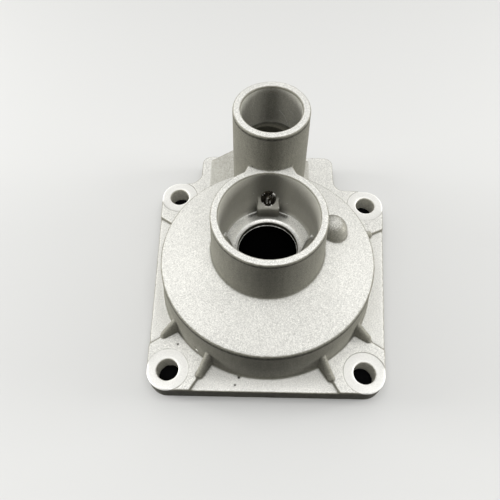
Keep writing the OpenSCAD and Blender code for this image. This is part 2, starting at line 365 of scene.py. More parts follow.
@dataclass(frozen=True)
class Span:
    """Part of a measure that a zone fills, and half the width of its soft ends, in millimetres."""

    measure: Measure
    low: float
    high: float
    soft: float


@dataclass(frozen=True)
class Ramp:
    """Span of a value, and the numbers that its ends are turned into."""

    start: float
    end: float
    low: float = 0.0
    high: float = 1.0

    def inputs(self, value: Socket) -> dict[str, object]:
        """Gives the inputs of a node that turns the value so."""
        ends = {"From Min": self.start, "From Max": self.end, "To Min": self.low, "To Max": self.high}
        return {"Value": value, **ends}


@dataclass(frozen=True)
class Coat:
    """Look of one way of working the metal."""

    colour: str
    roughness: float
    metallic: float


class Look(NamedTuple):
    """Sockets or values that a surface has so far."""

    colour: object
    roughness: object
    metallic: object


class Shares(NamedTuple):
    """How much each coat shows at each point, from 0 to 1.

    One share is 1 where a face looks up and another is the rest. The deep and boss shares are less
    where a face looks up; the shares of patches, broken bands, rings and painted glints follow a pattern
    alone.
    """

    facing_up: Socket
    facing_aside: Socket
    patchy: Socket
    deep: Socket
    boss_shade: Socket
    torn: Socket
    ring: Socket
    painted_glint: Socket


@dataclass(frozen=True)
class CastAluminium:
    """Die-cast aluminium, shot-blasted after casting, with drilled and turned places left bright.

    Faces that look up get a pale, matt coat with a fine sparkling grain, and the upright walls the
    darker, olive-grey skin of the mould: painted top light on the tops and painted shade on the walls.
    """

    # The dark skin coat on the walls is painted shade, and the pale blasted coat on faces that look up is
    # painted top light
    skin: Coat = Coat("8A887C", 0.65, 0.0)
    blasted: Coat = Coat("F0EFE9", 0.6, 0.35)
    # The cut coat is the machined metal; on the boss it also makes painted glints
    cut: Coat = Coat("EFEEE9", 0.55, 0.3)
    # The bore coats are lighter than the skin: painted light on the walls inside the bores; in the bolt
    # holes, the drilled metal's colour
    bore: Coat = Coat("C9C7BC", 0.5, 0.05)
    pipe_bore: Coat = Coat("DAD8CD", 0.5, 0.05)
    # Painted shade deep in the pipe
    shoulder: Coat = Coat("5C5A50", 0.6, 0.0)
    # Painted shade on the ledges' leaning faces
    ledge: Coat = Coat("8C8A80", 0.6, 0.0)
    # Painted shade on the ribs' sloping tops, in patches
    rib: Coat = Coat("98968B", 0.6, 0.0)
    seat: Coat = Coat("F0EFE8", 0.5, 0.1)
    # The bevel coat is the turned bevel's bright metal; round the seat's step it is a painted highlight, and
    # in the bores it draws painted bright streaks
    bevel: Coat = Coat("F0EFEA", 0.4, 0.5)
    drilled: Coat = Coat("8F8B81", 0.24, 1.0)
    # On the boss this coat is painted shade, most on its sides; round the spot faces it draws their fine line
    boss: Coat = Coat("969489", 0.45, 0.2)
    # The torn coat is dark: laid as painted shade below the rims, on the flange's edge, on walls out of the
    # light, in corners and in pits
    torn: Coat = Coat("3A3932", 0.7, 0.0)
    specular: float = 0.12
    # Strength of the painted shade on the bores' rear walls
    shade_share: float = 0.66
    # Strength of the painted shadow on the seat's rear and the rear lug's front
    lug_shadow_share: float = 0.7
    worked_share: float = 0.65

    # Factor and offset: how the pebble frays the painted top light's edge, the patches, and the coat deep in
    # a bore
    reach: tuple[float, float] = (0.1, -0.05)
    patches: tuple[float, float] = (0.6, 0.2)
    depth: tuple[float, float] = (-0.5, 1.0)
    # Relief: how much the pebble adds to the grain, then strength and height of dents and of waves
    pebble_relief: float = 0.4
    dents: tuple[float, float] = (0.55, 0.09)
    waves: tuple[float, float] = (0.3, 0.1)
    # How the tilt of the skin, 1 where it looks up, becomes the share of the pale coat of painted top light
    facing_up_ramp: Ramp = Ramp(0.7, 1.01)
    # How the tilt becomes the share of the boss's painted shade, most where it looks least up
    boss_shade: Ramp = Ramp(0.6, 1.05, 1.0, 0.5)
    # How a pattern becomes the share of a coat that is broken up
    torn_share: Ramp = Ramp(0.38, 0.6, 0.5, 0.9)
    ring_share: Ramp = Ramp(0.4, 0.55, 0.25, 0.85)
    # How the grain becomes painted glints on the boss
    painted_glint_share: Ramp = Ramp(0.5, 0.62, 0.0, 0.6)
    # Tone: grain and pebble most, mottle and cloud a little, and drag on the walls alone
    tones: tuple[tuple[Pattern, Ramp], ...] = (
        (Pattern.GRAIN, Ramp(0.32, 0.68, 0.68, 1.16)),
        (Pattern.PEBBLE, Ramp(0.32, 0.68, 0.96, 1.02)),
        (Pattern.MOTTLE, Ramp(0.32, 0.68, 0.98, 1.01)),
        (Pattern.CLOUD, Ramp(0.32, 0.68, 0.97, 1.02)),
    )
    drag_tone: Ramp = Ramp(0.32, 0.68, 0.93, 1.05)
    # Edges are worn bright, which is real wear; hollows are darkened, which is painted shade
    wear_and_hollow_shade: Ramp = Ramp(-0.5, 0.5, 1.15, 0.6)

    # Middle and radius of each pit, and start, end and half width of each stroke
    pit_lip: float = 0.14
    pits: tuple[tuple[Place, float], ...] = (
        ((-27.43, -23.93, 6.75), 0.4),
        ((-8.15, -33.89, 5.9), 0.42),
        ((-9.19, -36.19, 5.9), 0.38),
        ((-4.9, 16.3, 44.5), 0.3),
        ((2.57, 15.25, 44.5), 0.3),
        ((19.4, 3.2, 26.1), 0.4),
        ((-22.5, 14.8, 25.1), 0.36),
        ((-9.77, 0.28, 26.9), 0.24),
        ((-21.7, -25.9, 9.5), 0.45),
    )
    # Strokes of painted shade in the corners between lug and seat
    corner_shades: tuple[Stroke, ...] = (
        ((-5.6, 11.3, 27.05), (-4.2, 12.0, 27.05), 0.8),
        ((4.3, 11.8, 27.05), (5.5, 11.1, 27.05), 0.75),
    )
    # Strokes round which the bores' rear walls get painted shade
    rear_wall_shades: tuple[Stroke, ...] = (
        ((0, 14.0, 28.0), (0, 14.0, 42.0), 4.2),
        ((0.25, 34.9, 46.0), (0.25, 34.9, 54.0), 3.0),
    )
    # Stroke round which the seat's rear and the lug's front get painted shadow
    shaded: tuple[Stroke, ...] = (((-3.2, 11.4, 27.6), (3.2, 11.4, 27.6), 2.7),)
    # Bright strokes painted on the pipe's bore wall, and painted reflections in the slanting hole
    scratches: tuple[Stroke, ...] = (
        ((2.74, 34.5, 48.84), (4.38, 33.82, 47.17), 0.2),
        ((4.38, 33.82, 47.17), (5.54, 33.06, 44.63), 0.14),
        ((5.54, 33.06, 50.47), (7.24, 31.32, 49.69), 0.15),
        ((7.01, 31.63, 48.45), (7.2, 31.4, 47.6), 0.25),
        ((-7.59, 29.88, 51.54), (-7.6, 29.9, 51.0), 0.28),
        ((-0.3, 16.7, 28.8), (-0.3, 15.1, 28.45), 0.22),
        ((0.6, 17.0, 29.5), (0.6, 15.2, 28.5), 0.26),
        ((1.3, 17.3, 30.1), (1.5, 16.6, 29.6), 0.24),
    )

    def spans(self, s: Sizes) -> dict[Zone, tuple[Span, ...]]:
        """Lists the spans that bound each zone, a little past its sizes, as the roundings need.

        Args:
            s: The housing's sizes.

        Returns:
            The spans of each zone, which lies where all of them do.
        """
        m = Measure
        on_raised = Span(m.HEIGHT, s.flange_z, s.raised_z + 2, 0.1)
        return {
            Zone.SPOT_FACE: (Span(m.BOLT, -FAR, s.spot_r - 0.1, 0.12), on_raised),
            Zone.SPOT_RING: (Span(m.BOLT, s.spot_r - 0.14, s.spot_r + 0.16, 0.1), on_raised),
            Zone.BOLT_HOLE: (Span(m.BOLT, -FAR, s.bolt_hole_r + 0.12, 0.05),),
            Zone.PORT: (
                Span(m.PORT_RADIUS, -FAR, s.port_r + 0.12, 0.05),
                Span(m.PORT_HEIGHT, -2, 7, 0.2),
            ),
            Zone.BORE: (
                Span(m.RADIUS, -FAR, s.collar_bore_r + 0.3, 0.1),
                Span(m.HEIGHT, s.seat_z + 0.35, s.collar_z - 0.5, 0.15),
            ),
            Zone.PIPE_BORE: (
                Span(m.PIPE, -FAR, s.pipe_bore_r + 0.3, 0.1),
                Span(m.HEIGHT, s.flange_z, s.pipe_z - 0.7, 0.15),
            ),
            Zone.DEEP_PIPE_SHADE: (
                Span(m.PIPE, -FAR, s.pipe_bore_r + 1, 0.1),
                Span(m.HEIGHT, s.flange_z, s.shoulder_z + 0.5, 0.3),
            ),
            Zone.SEAT: (
                Span(m.RADIUS, -FAR, s.seat_r + 0.3, 0.1),
                Span(m.HEIGHT, s.seat_z - 0.3, s.seat_z + 0.35, 0.1),
            ),
            Zone.STEP: (
                Span(m.RADIUS, s.seat_r - 0.1, s.seat_r + 0.32, 0.1),
                Span(m.HEIGHT, s.seat_z - 0.2, s.seat_z + 0.9, 0.1),
            ),
            Zone.EYE_EDGE: (
                Span(m.RADIUS, s.eye_r - 1, s.eye_r + s.eye_bevel, 0.12),
                Span(m.HEIGHT, s.seat_z - s.eye_bevel / 2 - 0.1, s.seat_z + 1, 0.1),
            ),
            Zone.EYE_WALL_SHADE: (
                Span(m.RADIUS, -FAR, s.eye_r + 0.4, 0.1),
                Span(m.HEIGHT, s.seat_under - 0.3, s.seat_z - 0.75, 0.15),
            ),
            Zone.LEDGE_SHADE: (
                Span(m.LEDGE_DEPTH, s.ledge_at - 0.4, s.ledge_at + 9, 0.1),
                Span(m.LEDGE_ALONG, -FAR, s.ledge_end, 0.3),
                Span(m.RADIUS, -FAR, s.collar_bore_r + 0.5, 0.1),
                Span(m.HEIGHT, s.seat_z + 0.2, s.ledge_z + 0.4, 0.1),
            ),
            Zone.RIB: (
                Span(m.RADIUS, s.drum_r + 0.5, s.drum_r + 9, 0.2),
                Span(m.HEIGHT, s.raised_z + 0.3, s.drum_edge_z - 1.5, 0.1),
                Span(m.BEHIND, -FAR, s.rib_end_y, 0.3),
            ),
            Zone.BOSS: (Span(m.BOSS, -FAR, s.boss_r + 0.15, 0.1),),
            Zone.FACE: (Span(m.HEIGHT, -FAR, 0.12, 0.05),),
            Zone.EDGE: (
                Span(m.RADIUS, s.chamber_r + 1, FAR, 0.2),
                Span(m.HEIGHT, 0.25, s.flange_z - 0.35, 0.2),
            ),
        }

    def rim_shades(self, s: Sizes) -> list[tuple[Span, Span]]:
        """Lists the bands of painted shade below the three outer rims.

        Args:
            s: The housing's sizes.

        Returns:
            Two spans for each band.
        """
        rims = (
            (Measure.RADIUS, s.drum_r, s.drum_edge_z, 2.0),
            (Measure.RADIUS, s.collar_rim_r, s.collar_z, 1.3),
            (Measure.PIPE, s.pipe_rim_r, s.pipe_z, 1.3),
        )
        return [
            (Span(measure, radius - 0.6, radius + 1, 0.1), Span(Measure.HEIGHT, top - low, top - 0.6, 0.28))
            for measure, radius, top, low in rims
        ]

    def measures(self, tree: bpy.types.NodeTree, place: Socket, s: Sizes) -> dict[Measure, Socket]:
        """Works out where a point of the surface lies.

        Args:
            tree: The node tree.
            place: Object coordinates.
            s: The housing's sizes.

        Returns:
            Each measure, in metres.
        """
        vector = "ShaderNodeVectorMath"
        flat = add_node(tree, vector, {0: place, 1: (1, 1, 0)}, operation="MULTIPLY").outputs[0]
        height = add_node(tree, "ShaderNodeSeparateXYZ", {0: place}).outputs["Z"]
        behind = add_node(tree, "ShaderNodeSeparateXYZ", {0: place}).outputs["Y"]
        away = []
        bolts = [(flat, (*bolt, 0)) for bolt in s.bolts]
        for start, at in ((flat, (*s.pipe, 0)), (place, s.boss_at), *bolts):
            centre = tuple(c * MM for c in at)
            gap = add_node(tree, vector, {0: start, 1: centre}, operation="DISTANCE")
            away.append(gap.outputs["Value"])
        bottom = tuple((c - s.port_start * a) * MM for c, a in zip(s.port_at, s.port_axis))
        inside = add_node(tree, vector, {0: place, 1: bottom}, operation="SUBTRACT").outputs[0]
        cross = add_node(tree, vector, {0: inside, 1: s.port_axis}, operation="CROSS_PRODUCT").outputs[0]
        aside = add_node(tree, vector, {0: flat}, operation="ABSOLUTE").outputs[0]
        aside = add_node(tree, "ShaderNodeSeparateXYZ", {0: aside}).outputs["X"]
        # Both ledges at once: the left half is folded over onto the right
        folded = add_node(tree, "ShaderNodeCombineXYZ", {"X": aside, "Y": behind, "Z": height}).outputs[0]
        chord = (-s.ledge_plane[1], s.ledge_plane[0], 0)
        lengths = {
            Measure.RADIUS: ("LENGTH", {0: flat}),
            Measure.PORT_RADIUS: ("LENGTH", {0: cross}),
            Measure.PORT_HEIGHT: ("DOT_PRODUCT", {0: inside, 1: s.port_axis}),
            Measure.LEDGE_ALONG: ("DOT_PRODUCT", {0: folded, 1: chord}),
            Measure.LEDGE_DEPTH: ("DOT_PRODUCT", {0: folded, 1: s.ledge_plane}),
        }
        measures = {Measure.HEIGHT: height, Measure.BEHIND: behind}
        for measure, (operation, inputs) in lengths.items():
            measures[measure] = add_node(tree, vector, inputs, operation=operation).outputs["Value"]
        pipe, boss, *from_bolts = away
        nearest = fold(tree, "MINIMUM", *from_bolts)
        return measures | {Measure.PIPE: pipe, Measure.BOSS: boss, Measure.BOLT: nearest}

    def band(self, tree: bpy.types.NodeTree, value: Socket, low: float, high: float, soft: float) -> Socket:
        """Makes a mask that is 1 where a length lies between two limits.

        Args:
            tree: The node tree.
            value: The length, in metres.
            low: Lower limit in millimetres.
            high: Upper limit in millimetres.
            soft: Half the width of the mask's edges in millimetres.

        Returns:
            The mask.
        """
        ends = []
        for limit in (low, high):
            ramp = Ramp((limit - soft) * MM, (limit + soft) * MM)
            step = add_node(tree, "ShaderNodeMapRange", ramp.inputs(value), interpolation_type="SMOOTHSTEP")
            ends.append(step.outputs["Result"])
        return add_node(tree, "ShaderNodeMath", {0: ends[0], 1: ends[1]}, operation="SUBTRACT").outputs[0]

    def near_strokes(
        self, tree: bpy.types.NodeTree, place: Socket, strokes: tuple[Stroke, ...], soft: float
    ) -> Socket:
        """Makes a mask that is 1 near any of some short straight strokes.

        Args:
            tree: The node tree.
            place: Object coordinates.
            strokes: Start, end and half width of each in millimetres; a dot ends where it starts.
            soft: Half the width of the mask's edges in millimetres.

        Returns:
            The mask.
        """
        vector = "ShaderNodeVectorMath"
        masks = []
        for start, end, half in strokes:
            first = Vector(start) * MM
            way = (Vector(end) - Vector(start)) * MM
            unit = way / max(way.length_squared, MM ** 4)
            from_first = add_node(tree, vector, {0: place, 1: first}, operation="SUBTRACT").outputs[0]
            share = add_node(tree, vector, {0: from_first, 1: unit}, operation="DOT_PRODUCT").outputs["Value"]
            share = add_node(tree, "ShaderNodeClamp", {"Value": share}).outputs[0]
            nearest = add_node(tree, vector, {0: way, 3: share}, operation="SCALE").outputs[0]
            nearest = add_node(tree, vector, {0: nearest, 1: first}, operation="ADD").outputs[0]
            gap = add_node(tree, vector, {0: place, 1: nearest}, operation="DISTANCE").outputs["Value"]
            masks.append(self.band(tree, gap, -FAR, half, soft))
        return fold(tree, "MAXIMUM", *masks)

    def zones(self, tree: bpy.types.NodeTree, place: Socket, s: Sizes) -> dict[Zone, Socket]:
        """Makes the masks of the areas that were machined or cored, and of painted light and shade.

        Args:
            tree: The node tree.
            place: Object coordinates.
            s: The housing's sizes.

        Returns:
            A mask for each zone.
        """
        measures = self.measures(tree, place, s)

        def shared(spans: tuple[Span, ...]) -> Socket:
            """Makes the mask of what lies in all the spans."""
            bands = [
                self.band(tree, measures[span.measure], span.low, span.high, span.soft) for span in spans
            ]
            return fold(tree, "MULTIPLY", *bands)

        zones = {zone: shared(spans) for zone, spans in self.spans(s).items()}
        zones[Zone.RIM_SHADE] = fold(tree, "MAXIMUM", *(shared(spans) for spans in self.rim_shades(s)))
        pits = tuple((at, at, radius - self.pit_lip) for at, radius in self.pits)
        for zone, strokes, soft in (
            (Zone.CORNER_SHADE, self.corner_shades, 0.45), (Zone.REAR_WALL_SHADE, self.rear_wall_shades, 2.8), (Zone.LUG_SHADOW, self.shaded, 1.8),
            (Zone.PIT, pits, 0.12), (Zone.MARK, self.scratches, 0.07),
        ):
            zones[zone] = self.near_strokes(tree, place, strokes, soft)
        return zones

    def noise(self, tree: bpy.types.NodeTree, place: Socket) -> dict[Pattern, Socket]:
        """Adds the skin's patterns.

        Args:
            tree: The node tree.
            place: Object coordinates.

        Returns:
            Each pattern, from 0 to 1.
        """
        drawn = add_node(tree, "ShaderNodeVectorMath", {0: place, 1: (1, 1, 0.2)}, operation="MULTIPLY")
        noise = {}
        for pattern in Pattern:
            size, detail, roughness = pattern.value
            node = add_node(tree, "ShaderNodeTexNoise", {
                "Vector": drawn.outputs[0] if pattern is Pattern.DRAG else place, "Scale": 1 / (size * MM),
                "Detail": detail, "Roughness": roughness,
            })
            noise[pattern] = node.outputs["Fac"]
        return noise

    def shares(self, tree: bpy.types.NodeTree, noise: dict[Pattern, Socket]) -> Shares:
        """Works out how much each coat shows.

        Faces that look up get the pale coat, a painted top light; walls keep the dark skin, a painted shade.

        Args:
            tree: The node tree.
            noise: The skin's patterns.

        Returns:
            The shares.
        """
        math_node, ramp_node = "ShaderNodeMath", "ShaderNodeMapRange"
        add = {"operation": "MULTIPLY_ADD"}
        smooth = {"interpolation_type": "SMOOTHSTEP"}
        tilt = add_node(tree, "ShaderNodeAttribute", attribute_name="tilt").outputs["Fac"]
        factor, offset = self.reach
        reach = add_node(tree, math_node, {0: noise[Pattern.PEBBLE], 1: factor, 2: offset}, **add).outputs[0]
        lifted = add_node(tree, math_node, {0: tilt, 1: reach}, operation="ADD").outputs[0]
        facing_up = add_node(tree, ramp_node, self.facing_up_ramp.inputs(lifted), **smooth).outputs["Result"]
        facing_aside = add_node(tree, math_node, {0: 1.0, 1: facing_up}, operation="SUBTRACT").outputs[0]
        factor, offset = self.patches
        patchy = add_node(tree, math_node, {0: noise[Pattern.MOTTLE], 1: factor, 2: offset}, **add).outputs[0]
        factor, offset = self.depth
        deep = add_node(tree, math_node, {0: facing_up, 1: factor, 2: offset}, **add).outputs[0]
        boss_shade = add_node(tree, ramp_node, self.boss_shade.inputs(lifted), **smooth).outputs["Result"]
        broken = []
        for ramp, pattern in (
            (self.torn_share, Pattern.PEBBLE),
            (self.ring_share, Pattern.CLOUD),
            (self.painted_glint_share, Pattern.GRAIN),
        ):
            broken.append(add_node(tree, ramp_node, ramp.inputs(noise[pattern])).outputs["Result"])
        return Shares(facing_up, facing_aside, patchy, deep, boss_shade, *broken)

    def lay(self, tree: bpy.types.NodeTree, under: Look, mask: Socket, coat: Coat) -> Look:
        """Lays a coat over a look where a mask is 1.

        Args:
            tree: The node tree.
            under: The look so far.
            mask: The mask.
            coat: The coat.

        Returns:
            The new look.
        """
        mixed = {0: mask, 6: under.colour, 7: linear(coat.colour)}
        colour = add_node(tree, "ShaderNodeMix", mixed, data_type="RGBA")
        roughness = add_node(tree, "ShaderNodeMix", {0: mask, 2: under.roughness, 3: coat.roughness})
        metallic = add_node(tree, "ShaderNodeMix", {0: mask, 2: under.metallic, 3: coat.metallic})
        return Look(colour.outputs[2], roughness.outputs[0], metallic.outputs[0])

    def coats(self, tree: bpy.types.NodeTree, zones: dict[Zone, Socket], shares: Shares) -> Look:
        """Lays all the coats over the bare skin, one on the other.

        Args:
            tree: The node tree.
            zones: Masks of the zones.
            shares: How much the shot and the wear show.

        Returns:
            The look of the whole surface.
        """
        cored = fold(tree, "MAXIMUM", zones[Zone.BORE], zones[Zone.PIPE_BORE])
        # Painted shade on the bores' rear walls, where faces don't look up
        shade = fold(tree, "MULTIPLY", zones[Zone.REAR_WALL_SHADE], self.shade_share, shares.facing_aside, cored)
        layers = (
            # Pale coat of painted top light where a face looks up; the dark skin left on the walls is painted
            # shade
            (self.blasted, (shares.facing_up,)),
            # Painted shade on the ribs' sloping tops, in patches
            (self.rib, (zones[Zone.RIB], shares.patchy)),
            # Painted shade on the boss, most on its sides
            (self.boss, (zones[Zone.BOSS], shares.boss_shade)),
            # Painted glints on the boss where it looks up
            (self.cut, (zones[Zone.BOSS], shares.facing_up, shares.painted_glint)),
            # Painted shade in a broken band just below the rims of drum, collar and pipe
            (self.torn, (zones[Zone.RIM_SHADE], shares.torn)),
            (self.cut, (zones[Zone.SPOT_FACE],)),
            (self.cut, (zones[Zone.FACE],)),
            (self.boss, (zones[Zone.SPOT_RING], shares.ring)),
            # Painted light on the walls of both bores, and painted shade on the collar bore's faces that look
            # up
            (self.bore, (zones[Zone.BORE], shares.deep)),
            (self.pipe_bore, (zones[Zone.PIPE_BORE],)),
            # Painted shade on the pipe's shoulder and passage
            (self.shoulder, (zones[Zone.DEEP_PIPE_SHADE],)),
            (self.torn, (shade,)),
            (self.seat, (zones[Zone.SEAT],)),
            # Painted shadow on the seat's rear and the rear lug's front
            (self.torn, (zones[Zone.LUG_SHADOW], self.lug_shadow_share)),
            # Painted shade in the corners between lug and seat
            (self.torn, (zones[Zone.CORNER_SHADE], shares.torn)),
            # Painted shade on the flange's outer edge, broken by patches
            (self.torn, (zones[Zone.EDGE], shares.patchy)),
            (self.bevel, (zones[Zone.EYE_EDGE],)),
            # Painted shade on the wall of the inlet eye
            (self.torn, (zones[Zone.EYE_WALL_SHADE],)),
            # Painted highlight round the seat's step, broken by the cloud pattern
            (self.bevel, (zones[Zone.STEP], shares.ring)),
            # Painted shade on the ledges' leaning faces
            (self.ledge, (zones[Zone.LEDGE_SHADE],)),
            (self.pipe_bore, (zones[Zone.BOLT_HOLE],)),
            (self.drilled, (zones[Zone.PORT],)),
            # Painted bright strokes in the pipe's bore and painted reflections in the slanting hole
            (self.bevel, (zones[Zone.MARK],)),
            # Painted shade inside the gas pits
            (self.torn, (zones[Zone.PIT],)),
        )
        look = Look(linear(self.skin.colour), self.skin.roughness, self.skin.metallic)
        for coat, masks in layers:
            look = self.lay(tree, look, fold(tree, "MULTIPLY", *masks), coat)
        return look

    def tone(
        self, tree: bpy.types.NodeTree, noise: dict[Pattern, Socket], facing_aside: Socket, worked: Socket
    ) -> Socket:
        """Works out how light or dark the coats are from point to point.

        Args:
            tree: The node tree.
            noise: The skin's patterns.
            facing_aside: Share of the faces that don't look up.
            worked: Share that was cut or cored and is even.

        Returns:
            A factor for the colour.
        """
        ramp_node = "ShaderNodeMapRange"
        steps = []
        for pattern, ramp in self.tones:
            steps.append(add_node(tree, ramp_node, ramp.inputs(noise[pattern])).outputs["Result"])
        drag = add_node(tree, ramp_node, self.drag_tone.inputs(noise[Pattern.DRAG])).outputs["Result"]
        steps.append(add_node(tree, "ShaderNodeMix", {0: facing_aside, 2: 1.0, 3: drag}).outputs[0])
        tone = fold(tree, "MULTIPLY", *steps)
        tone = add_node(tree, "ShaderNodeMix", {0: worked, 2: tone, 3: 1.0}).outputs[0]
        # The bend brightens edges as wear and darkens hollows as painted shade
        bend = add_node(tree, "ShaderNodeAttribute", attribute_name="bend").outputs["Fac"]
        worn_and_shaded = add_node(tree, ramp_node, self.wear_and_hollow_shade.inputs(bend)).outputs["Result"]
        return fold(tree, "MULTIPLY", tone, worn_and_shaded)

    def build(self, sizes: Sizes) -> bpy.types.Material:
        """Builds the node material.

        Args:
            sizes: The housing's sizes, for the machined areas.

        Returns:
            The material.
        """
        material = blank_material("shot-blasted die-cast aluminium")
        tree = material.node_tree
        place = add_node(tree, "ShaderNodeTexCoord").outputs["Object"]
        zones = self.zones(tree, place, sizes)
        noise = self.noise(tree, place)
        shares = self.shares(tree, noise)
        look = self.coats(tree, zones, shares)
        wall = fold(tree, "MULTIPLY", zones[Zone.BORE], shares.facing_aside)
        worked = fold(tree, "MAXIMUM", zones[Zone.SPOT_FACE], wall, zones[Zone.PORT])
        worked = fold(tree, "MULTIPLY", worked, self.worked_share)
        tone = self.tone(tree, noise, shares.facing_aside, worked)
        toned = add_node(tree, "ShaderNodeVectorMath", {0: look.colour, 3: tone}, operation="SCALE")
        # Relief: dents of grain and pebble, less where metal was worked, on the low waves of the mottle
        heights = {0: noise[Pattern.PEBBLE], 1: self.pebble_relief, 2: noise[Pattern.GRAIN]}
        relief = add_node(tree, "ShaderNodeMath", heights, operation="MULTIPLY_ADD").outputs[0]
        relief = add_node(tree, "ShaderNodeMix", {0: worked, 2: relief, 3: 1.0}).outputs[0]
        dents = add_node(tree, "ShaderNodeBump", {
            "Strength": self.dents[0], "Distance": self.dents[1] * MM, "Height": relief,
        })
        waves = add_node(tree, "ShaderNodeBump", {
            "Strength": self.waves[0], "Distance": self.waves[1] * MM, "Height": noise[Pattern.MOTTLE],
            "Normal": dents.outputs["Normal"],
        })
        shader = add_node(tree, "ShaderNodeBsdfPrincipled", {
            "Base Color": toned.outputs[0], "Metallic": look.metallic, "Roughness": look.roughness,
            "Normal": waves.outputs["Normal"], "Specular IOR Level": self.specular,
        })
        add_node(tree, "ShaderNodeOutputMaterial", {"Surface": shader.outputs[0]})
        return material


@dataclass
class Casting:
    """The housing's skin: a copy of its solid with the mould's roundings and the casting's faults."""

    sizes: Sizes = field(default_factory=Sizes)
    finish: CastAluminium = field(default_factory=CastAluminium)
    merge: float = 0.001
    voxel: float = 0.28
    triangles: int = 190000
    rounding: int = 3
    # Ribs: growth of the flanks, reach from the drum, half width of a rib and of what is round it,
    # and how far along the rib a face may look and still be a flank, not the drum's wall
    rib_growth: float = 0.28
    rib_reach: float = 8.5
    flank_half: float = 1.6
    rib_room: float = 3.0
    flank_level: float = 0.88
    # Half width, distance behind the axis and height of the lug's ramp: front foot, front top and rear
    slope: tuple[Place, ...] = (
        (3.35, 10.9, 31.45), (3.35, 10.9, 31.5), (3.0, 14.6, 31.45), (3.0, 14.6, 34.1),
    )
    slope_sink: float = 1.0
    drill_length: float = 9.0
    drill_middle: float = 3.0
    # How uneven a place is: rims, ribs, and edges by how sharp they are
    rim_share: float = 0.6
    flank_share: float = 0.5
    edge_share: float = 0.7
    edge_gain: float = -4.0
    edge_start: float = 0.25
    # Bend and tilt: smoothing passes, least square of an edge's length, and the bend's limits
    passes: int = 3
    least_square: float = 0.04
    bend_limits: tuple[float, float] = (-1.0, 0.4)
    # Vertex group, size in millimetres, finer steps and height in millimetres of the unevenness
    unevenness: tuple[tuple[str, float, int, float], ...] = (("skin", 5.0, 2, 0.1), ("lips", 0.45, 2, 0.36))

    def copy_solid(self) -> bpy.types.Object:
        """Copies the housing's solid and closes its mesh.

        Returns:
            The copy.
        """
        activate(bpy.data.objects["housing"])
        bpy.ops.object.duplicate()
        piece = just_added()
        piece.name = "housing_casting"
        piece.data.name = "housing_casting"
        bpy.ops.object.mode_set(mode="EDIT")
        bpy.ops.mesh.select_all(action="SELECT")
        bpy.ops.mesh.remove_doubles(threshold=self.merge * MM)
        bpy.ops.object.mode_set(mode="OBJECT")
        return piece

    def combine(self, piece: bpy.types.Object, tool: bpy.types.Object, operation: str) -> None:
        """Joins a tool body to the solid or cuts it out.

        Args:
            piece: The copy of the solid.
            tool: The tool body, which is used up.
            operation: UNION or DIFFERENCE.
        """
        finish_modifier(piece, "BOOLEAN", operation=operation, object=tool, solver="EXACT")
        bpy.data.objects.remove(tool)

    def cut_pits(self, piece: bpy.types.Object) -> None:
        """Sinks the gas pits of the casting into the solid.

        Args:
            piece: The copy of the solid.
        """
        balls = []
        for place, radius in self.finish.pits:
            bpy.ops.mesh.primitive_ico_sphere_add(
                subdivisions=2, radius=radius * MM, location=[c * MM for c in place])
            balls.append(just_added())
        tool = join(balls, "pit_tool")
        activate(tool)
        bpy.ops.object.transform_apply(location=True, rotation=True, scale=True)
        self.combine(piece, tool, "DIFFERENCE")

    def slope_lug(self, piece: bpy.types.Object) -> None:
        """Lets the rear lug's top rise towards the collar's wall, and drills its hole again.

        Args:
            piece: The copy of the solid.
        """
        s = self.sizes
        deselect()
        bpy.ops.mesh.primitive_cube_add(size=2 * MM)
        ramp = just_added()
        for point in ramp.data.vertices:
            below = point.co.z < 0
            half, behind, height = self.slope[2 * int(point.co.y > 0) + int(not below)]
            height -= self.slope_sink * below
            point.co = (math.copysign(half, point.co.x) * MM, behind * MM, height * MM)
        self.combine(piece, ramp, "UNION")
        deselect()
        bpy.ops.mesh.primitive_cylinder_add(vertices=96, radius=s.port_r * MM, depth=self.drill_length * MM)
        drill = just_added()
        axis = Vector(s.port_axis)
        middle = (Vector(s.port_at) + axis * self.drill_middle) * MM
        turn = axis.to_track_quat("Z", "Y").to_matrix().to_4x4()
        drill.matrix_world = Matrix.Translation(middle) @ turn
        self.combine(piece, drill, "DIFFERENCE")

    def find_ribs(
        self, place: np.ndarray, normal: np.ndarray, bolt: np.ndarray
    ) -> tuple[np.ndarray, np.ndarray]:
        """Finds the ribs and their flanks.

        Args:
            place: Place of each vertex in millimetres.
            normal: Its normal.
            bolt: Its distance from the nearest bolt's axis.

        Returns:
            A mask of the ribs and what is round them, and one of their tops and flanks alone.
        """
        s = self.sizes
        height = place[:, 2]
        ribs = np.zeros(len(place), dtype=bool)
        flanks = np.zeros(len(place), dtype=bool)
        for angle in s.rib_angles:
            out = (math.cos(math.radians(angle)), math.sin(math.radians(angle)))
            aside = np.abs(place[:, 1] * out[0] - place[:, 0] * out[1])
            along = place[:, 0] * out[0] + place[:, 1] * out[1] - s.drum_r
            level = normal[:, 0] * out[0] + normal[:, 1] * out[1]
            near = along < self.rib_reach
            ribs |= (aside < self.rib_room) & (along > -0.6) & near
            flanks |= (aside < self.flank_half) & (along > 0.3) & near & (level < self.flank_level)
        below_edge = height < s.drum_edge_z - s.rib_top
        ribs &= (bolt > s.spot_r + 0.4) & (height > s.flange_z - 0.2) & below_edge
        flanks &= (height > s.raised_z + 0.2) & below_edge & (place[:, 1] < s.rib_end_y)
        return ribs, flanks

